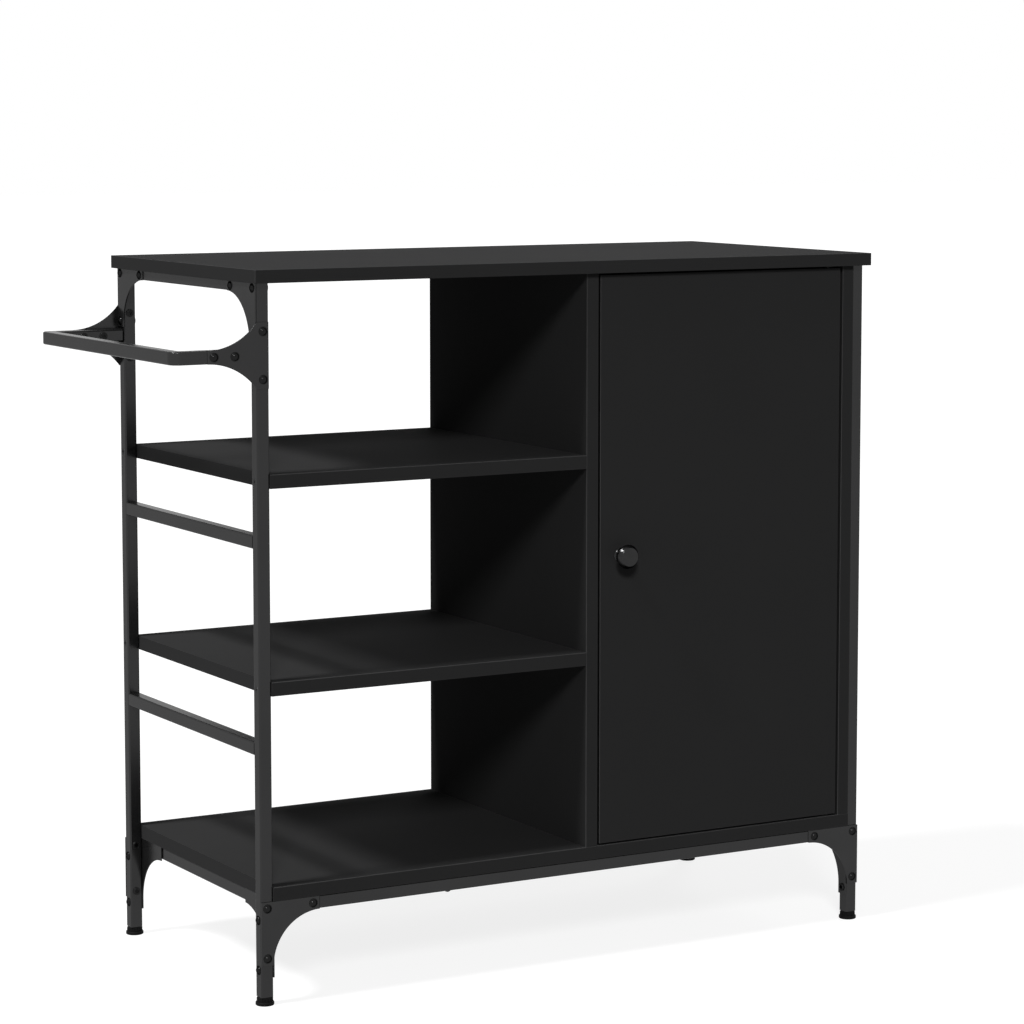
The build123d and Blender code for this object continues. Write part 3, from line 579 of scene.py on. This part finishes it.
def roundHead(radius, height, reach):
    rise = height - screw["rim"]
    ball = (radius ** 2 + rise ** 2) / (2 * rise)
    lean = math.degrees(math.asin(radius / ball))
    crown = arc((0, ball - height), ball, -90, lean - 90, screw["crownSteps"])
    crown[0] = (0, -height)
    edge = screw["edge"]
    return crown + [(radius, -edge), (radius - edge, 0), (screw["shank"], 0)] + shankProfile(reach)


def panHead(reach):
    return roundHead(screw["panRadius"], screw["panHeight"], reach)


def coneHead(reach):
    wide, narrow, edge = screw["headRadius"], screw["shank"], screw["edge"]
    return [(0, 0), (wide - 2 * edge, 0), (wide - edge, edge), (narrow, wide - narrow)] + shankProfile(reach)


def flatHead(reach):
    wide, deep, edge = screw["headRadius"], screw["headHeight"], screw["edge"]
    return [(0, 0), (wide - edge, 0), (wide, edge), (wide, deep), (screw["shank"], deep)] + shankProfile(reach)


def crossHead(name, profile):
    holder = addObject(name, latheMesh(name, profile, screw["steps"]))
    cutter = bmesh.new()
    arm, width, depth = screw["recess"], screw["recessWidth"], screw["recessDepth"]
    for wide, deep in ((2 * arm, width), (width, 2 * arm)):
        stretch = Matrix.Diagonal((wide / 1000, deep / 1000, 2 * depth / 1000, 1))
        bmesh.ops.create_cube(cutter, size=1.0, matrix=Matrix.Translation((0, 0, profile[0][1] / 1000)) @ stretch)
    cutMesh = bpy.data.meshes.new(name + "Cut")
    cutter.to_mesh(cutMesh)
    cutter.free()
    cutObject = addObject(name + "Cut", cutMesh)
    cut = holder.modifiers.new("recess", "BOOLEAN")
    cut.object = cutObject
    cut.solver = "EXACT"
    cut.use_self = True
    bpy.context.view_layer.update()
    made = bpy.data.meshes.new_from_object(holder.evaluated_get(bpy.context.evaluated_depsgraph_get()))
    bpy.data.objects.remove(cutObject)
    bpy.data.objects.remove(holder)
    smooth(made, screw["crease"])
    return made


shelfTops, boardUnder = island["shelfTops"], island["boardUnder"]
boardHalf, middle = island["board"] / 2, island["depth"] / 2
lines = (frontLine, backLine)
innerLines = (island["panelInset"], island["depth"] - island["panelInset"])
panelLevels = [level + island["panelScrewRise"] for level in (island["boardTop"], shelfTops[0])]
uprights, stretcherScrews = island["uprights"], island["stretcherScrews"]
catchX, catchY, catchZ = island["catch"]
knobX, knobZ = island["knob"]
railUnder, stretcherUnder = island["frameTop"] - island["tube"], island["topUnder"] - island["board"]
up = (0, 0, 1)
screwRuns = {
    "shelfScrews": ("shelf_screws", "dark_zinc", "island_frame", [
        (coneHead(length["shelf"]), [((0, line, top - boardHalf), toRight) for top in shelfTops for line in lines])]),
    "sidePanelScrews": ("side_panel_screws", "dark_zinc", "island_frame", [
        (coneHead(length["sidePanel"]), [((island["width"], line, level), toLeft)
                                         for level in panelLevels for line in lines])]),
    "baseScrews": ("base_screws", "black_screw", "island_frame", [
        (panHead(length["base"]), [((across, line, boardUnder - island["tube"]), up)
                                   for across in island["baseScrews"] for line in lines])]),
    "topScrews": ("top_screws", "dark_zinc", "island_frame", [
        (coneHead(length["rail"]), [((across, middle + side * island["topScrewSpread"], railUnder), up)
                                    for across in (half, rightLine) for side in (-1, 1)]),
        (coneHead(length["stretcher"]), [((across, island["stretcherLine"], stretcherUnder), up)
                                         for across in stretcherScrews])]),
    "dividerScrews": ("divider_screws", "zinc_steel", "island_frame", [
        (flatHead(length["divider"]), [((island["dividerRight"], line, top - boardHalf), toLeft)
                                       for top in shelfTops for line in innerLines]
         + [((across, line, boardUnder), up) for across in uprights for line in innerLines])]),
    "catchScrews": ("catch_screws", "zinc_steel", "island_frame", [
        (panHead(length["catch"]), [((catchX + side * island["catchSpread"], catchY, catchZ), up)
                                    for side in (-1, 1)])]),
    "strikeScrew": ("strike_screw", "zinc_steel", "cupboard_door", [
        (flatHead(length["strike"]), [(island["strike"], toFront)])]),
    "knobScrew": ("knob_screw", "zinc_steel", "cupboard_door", [
        (roundHead(screw["knobRadius"], screw["knobHeight"], length["knob"]),
         [((knobX, island["doorBack"], knobZ), toFront)])]),
}
for pieceName, (node, slotName, body, runs) in screwRuns.items():
    lots = [(crossHead(pieceName + "Head", profile), places) for profile, places in runs]
    scatterPiece(pieceName, lots, screw, slotName, body, node)

# nails round the back panel
nail = {"shank": 0.8, "head": 2.0, "headHeight": 0.6, "crown": 0.05, "shoulder": 0.25, "lip": 0.35, "edge": 0.1,
        "length": 16.0, "point": 2.0, "seat": 385.0, "low": 150.5, "high": 778.0, "rows": 5, "steps": 20,
        "spin": 1.0, "seed": 7}
nailTop, nailHead, nailEdge = -nail["headHeight"], nail["head"], nail["edge"]
nailProfile = [(0, nailTop), (nailHead - nail["lip"], nailTop + nail["crown"]),
               (nailHead, nailTop + nail["shoulder"]), (nailHead, -nailEdge), (nailHead - nailEdge, 0),
               (nail["shank"], 0), (nail["shank"], nail["length"] - nail["point"]), (0, nail["length"])]
nailStep = (nail["high"] - nail["low"]) / (nail["rows"] - 1)
nailPlaces = [((across, nail["seat"], nail["low"] + row * nailStep), toFront)
              for across in uprights for row in range(nail["rows"])]
nailPlaces += [((across, nail["seat"], boardUnder + boardHalf), toFront) for across in stretcherScrews]
nailMesh = latheMesh("nailShape", nailProfile, nail["steps"])
scatterPiece("backPanelNails", [(nailMesh, nailPlaces)], nail, "zinc_steel", "island_frame", "back_panel_nails")

# door knob: flared base, slim neck, wide head with a bevelled face
knob = {"reach": 23.5, "base": 8.5, "baseEdge": 0.9, "flat": 10.15, "faceRound": 1.2, "faceSteps": 5,
        "bevel": 33.2, "steps": 72, "crease": 28.0,
        "neck": ((8.15, 1.35), (7.3, 2.6), (6.5, 4.4), (6.0, 6.6), (6.05, 8.6), (6.5, 10.6)),
        "head": ((7.6, 12.4), (9.4, 13.8), (11.6, 14.9), (13.2, 16.0), (13.95, 16.9), (14.2, 17.5)),
        "rim": ((14.2, 18.06), (14.15, 18.3), (14.07, 18.5))}
knobProfile = [(0, 0), (knob["base"], 0), (knob["base"], knob["baseEdge"])]
knobProfile += [*knob["neck"], *knob["head"], *knob["rim"]]
faceRound = knob["faceRound"]
knobProfile += arc((knob["flat"], knob["reach"] - faceRound), faceRound, knob["bevel"], 90, knob["faceSteps"])
knobProfile += [(0, knob["reach"])]
knobMesh = latheMesh("doorKnob", knobProfile, knob["steps"], knob["crease"])
knobTurn = Matrix.Rotation(math.radians(90), 4, "X")
knobMesh.transform(Matrix.Translation(spot(knobX, island["doorFront"], knobZ)) @ knobTurn)
knobMesh.materials.append(knobLacquer)
doorKnob = addObject("doorKnob", knobMesh)
fitPiece(doorKnob, "cupboard_door", "knob", "door_knob")
print("door knob", len(knobMesh.polygons), "faces")

# feet: a turned base and stud with ribs stood round the collar
foot = {"base": 10.6, "baseHeight": 4.0, "soleEdge": 0.6, "baseRound": 1.2, "roundFrom": 15, "roundSteps": 5,
        "collar": 8.6, "collarTop": 8.9, "collarEdge": 0.4, "stud": 3.0, "studTop": 27.5, "studEdge": 0.5,
        "ribCount": 18, "ribRadius": 0.7, "ribSink": 0.2, "ribShoulder": 0.7, "ribNarrow": 0.55, "ribCrown": 0.25,
        "ribTop": 0.15, "ribSteps": 10, "steps": 54, "crease": 30.0}
base, baseHeight, baseRound = foot["base"], foot["baseHeight"], foot["baseRound"]
collar, collarTop, stud, studTop = foot["collar"], foot["collarTop"], foot["stud"], foot["studTop"]
footProfile = [(0, 0), (base - foot["soleEdge"], 0), (base, foot["soleEdge"]), (base, baseHeight - baseRound)]
footProfile += arc((base - baseRound, baseHeight - baseRound), baseRound, foot["roundFrom"], 90,
                   foot["roundSteps"])
footProfile += [(collar, baseHeight), (collar, collarTop - foot["collarEdge"]),
                (collar - foot["collarEdge"], collarTop), (stud, collarTop),
                (stud, studTop - foot["studEdge"]), (stud - foot["studEdge"], studTop), (0, studTop)]
rib, ribBottom = foot["ribRadius"], baseHeight - foot["ribSink"]
ribProfile = [(0, ribBottom), (rib, ribBottom), (rib, collarTop - foot["ribShoulder"]),
              (rib * foot["ribNarrow"], collarTop - foot["ribCrown"]), (0, collarTop - foot["ribTop"])]
ribs = ribTree("footRibs")
corners = {"front_left_foot": (half, frontLine), "back_left_foot": (half, backLine),
           "front_right_foot": (rightLine, frontLine), "back_right_foot": (rightLine, backLine)}
ribShape = addObject("footRibShape", latheMesh("footRibShape", ribProfile, foot["ribSteps"]))
for node, (x, y) in corners.items():
    first, second = node.split("_")[:2]
    piece = addObject(first + second.title() + "Foot", latheMesh(node, footProfile, foot["steps"], foot["crease"]))
    bakeTree(piece, ribs, {"Rib": ribShape, "Rib Count": foot["ribCount"], "Ring Radius": collar / 1000,
                           "Material": footPlastic})
    piece.data.transform(Matrix.Translation(spot(x, y, 0)))
    fitPiece(piece, node + "_body", "foot_plastic", node)
bpy.data.objects.remove(ribShape)
print("feet set")

# floor, light and camera
stage = {"floorSize": 60.0, "floorCells": 8, "floorTone": (0.25, 0.25, 0.25), "speckTone": (0.255, 0.255, 0.255),
         "speckScale": 40.0, "floorGlow": 0.84, "worldLight": 0.12, "worldShown": 1.0}


# 1 for rays that show the background: seen straight, mirrored or through glass
def shownRays(finish):
    straight = finish.node("ShaderNodeLightPath", output="Is Camera Ray")
    mirrored = finish.node("ShaderNodeLightPath", output="Is Glossy Ray")
    through = finish.node("ShaderNodeLightPath", output="Is Transmission Ray")
    return 1 - (1 - straight) * (1 - mirrored) * (1 - through)


def floorFinish():
    finish = Finish(bpy.data.materials.new("paleFloor"))
    speck = finish.noise(finish.objectCoords(), stage["speckScale"])
    tone = finish.mixColour(speck, stage["floorTone"], stage["speckTone"])
    matt = finish.node("ShaderNodeBsdfDiffuse", None, {"Color": tone})
    ray = shownRays(finish)
    glow = finish.node("ShaderNodeEmission", None, {"Color": (1, 1, 1, 1), "Strength": stage["floorGlow"]})
    lit = finish.node("ShaderNodeAddShader", None, {0: matt, 1: glow})
    both = finish.node("ShaderNodeMixShader", None, {0: ray, 1: matt, 2: lit})
    finish.node("ShaderNodeOutputMaterial", None, {"Surface": both})
    return finish.owner


floorShape = bmesh.new()
bmesh.ops.create_grid(floorShape, x_segments=stage["floorCells"], y_segments=stage["floorCells"],
                      size=stage["floorSize"] / 2)
floorMesh = bpy.data.meshes.new("studioFloor")
floorShape.to_mesh(floorMesh)
floorShape.free()
floorMesh.materials.append(floorFinish())
studioFloor = addObject("studioFloor", floorMesh)

world = bpy.data.worlds.new("studioWorld")
bpy.context.scene.world = world
air = Finish(world)
seen = shownRays(air)
ambient = air.node("ShaderNodeBackground", None, {"Color": (1, 1, 1, 1), "Strength": stage["worldLight"]})
shownAir = air.node("ShaderNodeBackground", None, {"Color": (1, 1, 1, 1), "Strength": stage["worldShown"]})
mixed = air.node("ShaderNodeMixShader", None, {0: seen, 1: ambient, 2: shownAir})
air.node("ShaderNodeOutputWorld", None, {"Surface": mixed})

lamps = {
    "keyLamp": {"from": (-0.4, -0.74, 0.54), "strength": 1.47, "angle": 12.0},
    "sideLamp": {"from": (-0.588, 0.0, 0.809), "strength": 2.85, "angle": 12.0},
    "backLamp": {"from": (0.55, 0.6, 0.58), "strength": 0.5, "angle": 20.0},
}
for name, lamp in lamps.items():
    data = bpy.data.lights.new(name, "SUN")
    data.energy = lamp["strength"]
    data.angle = math.radians(lamp["angle"])
    made = addObject(name, data)
    made.rotation_mode = "QUATERNION"
    made.rotation_quaternion = Vector(lamp["from"]).to_track_quat("Z", "Y")

view = {"lens": 116.18, "sensor": 36.0, "place": (-1.90997, -3.45829, 1.00722), "yaw": 29.768, "pitch": 6.0,
        "shiftY": -0.0613, "farClip": 200.0}
camera = bpy.data.cameras.new("studioCamera")
camera.lens = view["lens"]
camera.sensor_width = view["sensor"]
camera.shift_y = view["shiftY"]
camera.clip_end = view["farClip"]
cameraObject = addObject("studioCamera", camera)
cameraObject.location = view["place"]
cameraObject.rotation_euler = (math.radians(90 - view["pitch"]), 0, math.radians(-view["yaw"]))
bpy.context.scene.camera = cameraObject
bpy.context.scene.view_settings.view_transform = "Standard"
print("stage, lamps and camera set")
